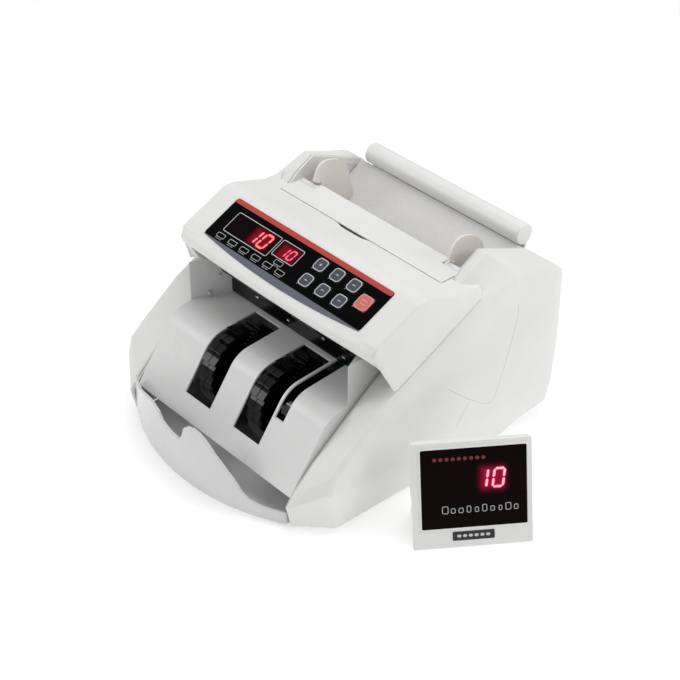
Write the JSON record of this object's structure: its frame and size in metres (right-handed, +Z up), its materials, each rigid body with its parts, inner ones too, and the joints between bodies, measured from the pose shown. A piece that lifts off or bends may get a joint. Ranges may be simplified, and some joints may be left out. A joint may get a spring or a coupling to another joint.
{
  "type": "bill counter with counterfeit detection",
  "caption": "Desktop note counter with rear hopper, keypad and number windows, vane-wheel stacker and a separate customer display.",
  "frame": {"origin": "on the table, on the machine's centre plane, between its four feet", "axes": "+X the operator's right, +Y to the back, +Z up"},
  "size_m": [0.3566, 0.286, 0.1717],
  "materials": {
    "white_shell": "moulded, fine satin grain",
    "grey_plastic": "fine texture",
    "guide_white": "smooth",
    "cream_plastic": "smooth",
    "tray_plastic": "glossy, translucent",
    "panel_film": "printed film",
    "window_red": "dark red filter",
    "digit_module": "lit segments in a black case",
    "circuit_board": "green solder mask",
    "key_grey": "soft touch",
    "key_red": "soft touch",
    "steel": "turned",
    "black_plastic": "moulded",
    "rubber": "matt",
    "lamp_glass": "dark violet glass",
    "dark_metal": "black lacquer",
    "base_metal": "galvanised sheet"
  },
  "bodies": {
    "machine": {"base_pan": "base_metal", "control_board": "circuit_board", "control_housing": "white_shell", "cover_screws": "steel", "digit_modules": "digit_module", "display_port": "black_plastic", "display_windows": "window_red", "drive_belts": "rubber", "feed_path_plate": "steel", "frame_plate_left": "grey_plastic", "frame_plate_right": "grey_plastic", "front_note_tray": "tray_plastic", "guide_rail": "steel", "hopper_grip_bar": "white_shell", "hopper_plate": "grey_plastic", "magnetic_head": "black_plastic", "main_board": "circuit_board", "motor": "dark_metal", "panel_overlay": "panel_film", "power_inlet": "black_plastic", "rear_cover": "white_shell", "retard_pad": "black_plastic", "rubber_feet": "rubber", "sensor_bridge": "black_plastic", "shaft_bushings": "black_plastic", "side_cover_left": "white_shell", "side_cover_right": "white_shell", "stacker_guide": "guide_white", "switch_frame": "black_plastic", "transformer": "dark_metal", "ultraviolet_lamp": "lamp_glass"},
    "flap": {"access_flap": "white_shell"},
    "left_guide": {"note_guide_left": "cream_plastic"},
    "right_guide": {"note_guide_right": "cream_plastic"},
    "stacker": {"stacker_shaft": "steel", "stacker_wheel_left": "black_plastic", "stacker_wheel_right": "black_plastic"},
    "feed": {"feed_shaft": "steel", "feed_rollers": "rubber"},
    "counting": {"counting_shaft": "steel", "counting_rollers": "rubber"},
    "pickup": {"pickup_shaft": "steel", "pickup_rollers": "rubber"},
    "motor_rotor": {"motor_pulley": "steel"},
    "pinch": {"pinch_rollers": "rubber"},
    "rocker": {"power_rocker": "black_plastic"},
    "gap_screw": {"gap_adjust_screw": "black_plastic"},
    "customer_display": {"display_bezel": "white_shell", "display_lens": "window_red", "display_rear_shell": "white_shell", "display_digits": "digit_module", "display_board": "circuit_board"},
    "leg": {"display_leg": "white_shell"},
    "key_plus_cap": {"key_plus": "key_grey"},
    "key_minus_cap": {"key_minus": "key_grey"},
    "key_batch_cap": {"key_batch": "key_grey"},
    "key_add_cap": {"key_add": "key_grey"},
    "key_ultraviolet_cap": {"key_ultraviolet": "key_grey"},
    "key_magnetic_cap": {"key_magnetic": "key_grey"},
    "key_reset_cap": {"key_reset": "key_red"}
  },
  "joints": [
    {"name": "key_plus_press", "type": "slide", "parent": "machine", "child": "key_plus_cap", "axis": [0, 0.4368, -0.8996], "range_m": [0, 0.0006], "stiffness_N_per_m": 1500},
    {"name": "key_minus_press", "type": "slide", "parent": "machine", "child": "key_minus_cap", "axis": [0, 0.4368, -0.8996], "range_m": [0, 0.0006], "stiffness_N_per_m": 1500},
    {"name": "key_batch_press", "type": "slide", "parent": "machine", "child": "key_batch_cap", "axis": [0, 0.4368, -0.8996], "range_m": [0, 0.0006], "stiffness_N_per_m": 1500},
    {"name": "key_add_press", "type": "slide", "parent": "machine", "child": "key_add_cap", "axis": [0, 0.4368, -0.8996], "range_m": [0, 0.0006], "stiffness_N_per_m": 1500},
    {"name": "key_ultraviolet_press", "type": "slide", "parent": "machine", "child": "key_ultraviolet_cap", "axis": [0, 0.4368, -0.8996], "range_m": [0, 0.0006], "stiffness_N_per_m": 1500},
    {"name": "key_magnetic_press", "type": "slide", "parent": "machine", "child": "key_magnetic_cap", "axis": [0, 0.4368, -0.8996], "range_m": [0, 0.0006], "stiffness_N_per_m": 1500},
    {"name": "key_reset_press", "type": "slide", "parent": "machine", "child": "key_reset_cap", "axis": [0, 0.4368, -0.8996], "range_m": [0, 0.0006], "stiffness_N_per_m": 1500},
    {"name": "flap_lift", "type": "hinge", "parent": "machine", "child": "flap", "pos_m": [0, 0.0574, 0.1512], "axis": [-1, 0, 0], "range_deg": [0, 35]},
    {"name": "left_guide_slide", "type": "slide", "parent": "machine", "child": "left_guide", "axis": [-1, 0, 0], "range_m": [-0.025, 0.01]},
    {"name": "right_guide_slide", "type": "slide", "parent": "machine", "child": "right_guide", "axis": [1, 0, 0], "range_m": [-0.025, 0.01]},
    {"name": "stacker_spin", "type": "hinge", "parent": "machine", "child": "stacker", "pos_m": [0, -0.062, 0.05], "axis": [1, 0, 0], "continuous": true},
    {"name": "feed_spin", "type": "hinge", "parent": "machine", "child": "feed", "pos_m": [0, 0.028, 0.0885], "axis": [1, 0, 0], "continuous": true},
    {"name": "counting_spin", "type": "hinge", "parent": "machine", "child": "counting", "pos_m": [0, -0.014, 0.092], "axis": [1, 0, 0], "continuous": true},
    {"name": "pickup_spin", "type": "hinge", "parent": "machine", "child": "pickup", "pos_m": [0, 0.066, 0.0975], "axis": [1, 0, 0], "continuous": true},
    {"name": "motor_spin", "type": "hinge", "parent": "machine", "child": "motor_rotor", "pos_m": [0, 0.07, 0.038], "axis": [1, 0, 0], "continuous": true},
    {"name": "pinch_spin", "type": "hinge", "parent": "machine", "child": "pinch", "pos_m": [0, -0.014, 0.1136], "axis": [1, 0, 0], "continuous": true},
    {"name": "power_switch", "type": "hinge", "parent": "machine", "child": "rocker", "pos_m": [-0.022, 0.128, 0.068], "axis": [1, 0, 0], "range_deg": [-16, 0]},
    {"name": "gap_adjust", "type": "hinge", "parent": "machine", "child": "gap_screw", "pos_m": [0, 0.034, 0.13], "axis": [0, 0, 1], "range_deg": [-180, 180]},
    {"name": "display_move", "type": "slide", "parent": "machine", "child": "customer_display", "axis": [1, 0, 0], "range_m": [0, 0.15]},
    {"name": "display_leg_fold", "type": "hinge", "parent": "customer_display", "child": "leg", "pos_m": [0.17966, -0.01778, 0.03413], "axis": [0.5678, 0.8231, 0], "range_deg": [-44, 0]}
  ],
  "couplings": [
    {"joint": "feed_spin", "follows": "stacker_spin", "ratio": 1.2},
    {"joint": "counting_spin", "follows": "stacker_spin", "ratio": 1.6},
    {"joint": "pickup_spin", "follows": "stacker_spin", "ratio": 0.96},
    {"joint": "motor_spin", "follows": "stacker_spin", "ratio": 2.5714},
    {"joint": "pinch_spin", "follows": "stacker_spin", "ratio": -4}
  ]
}
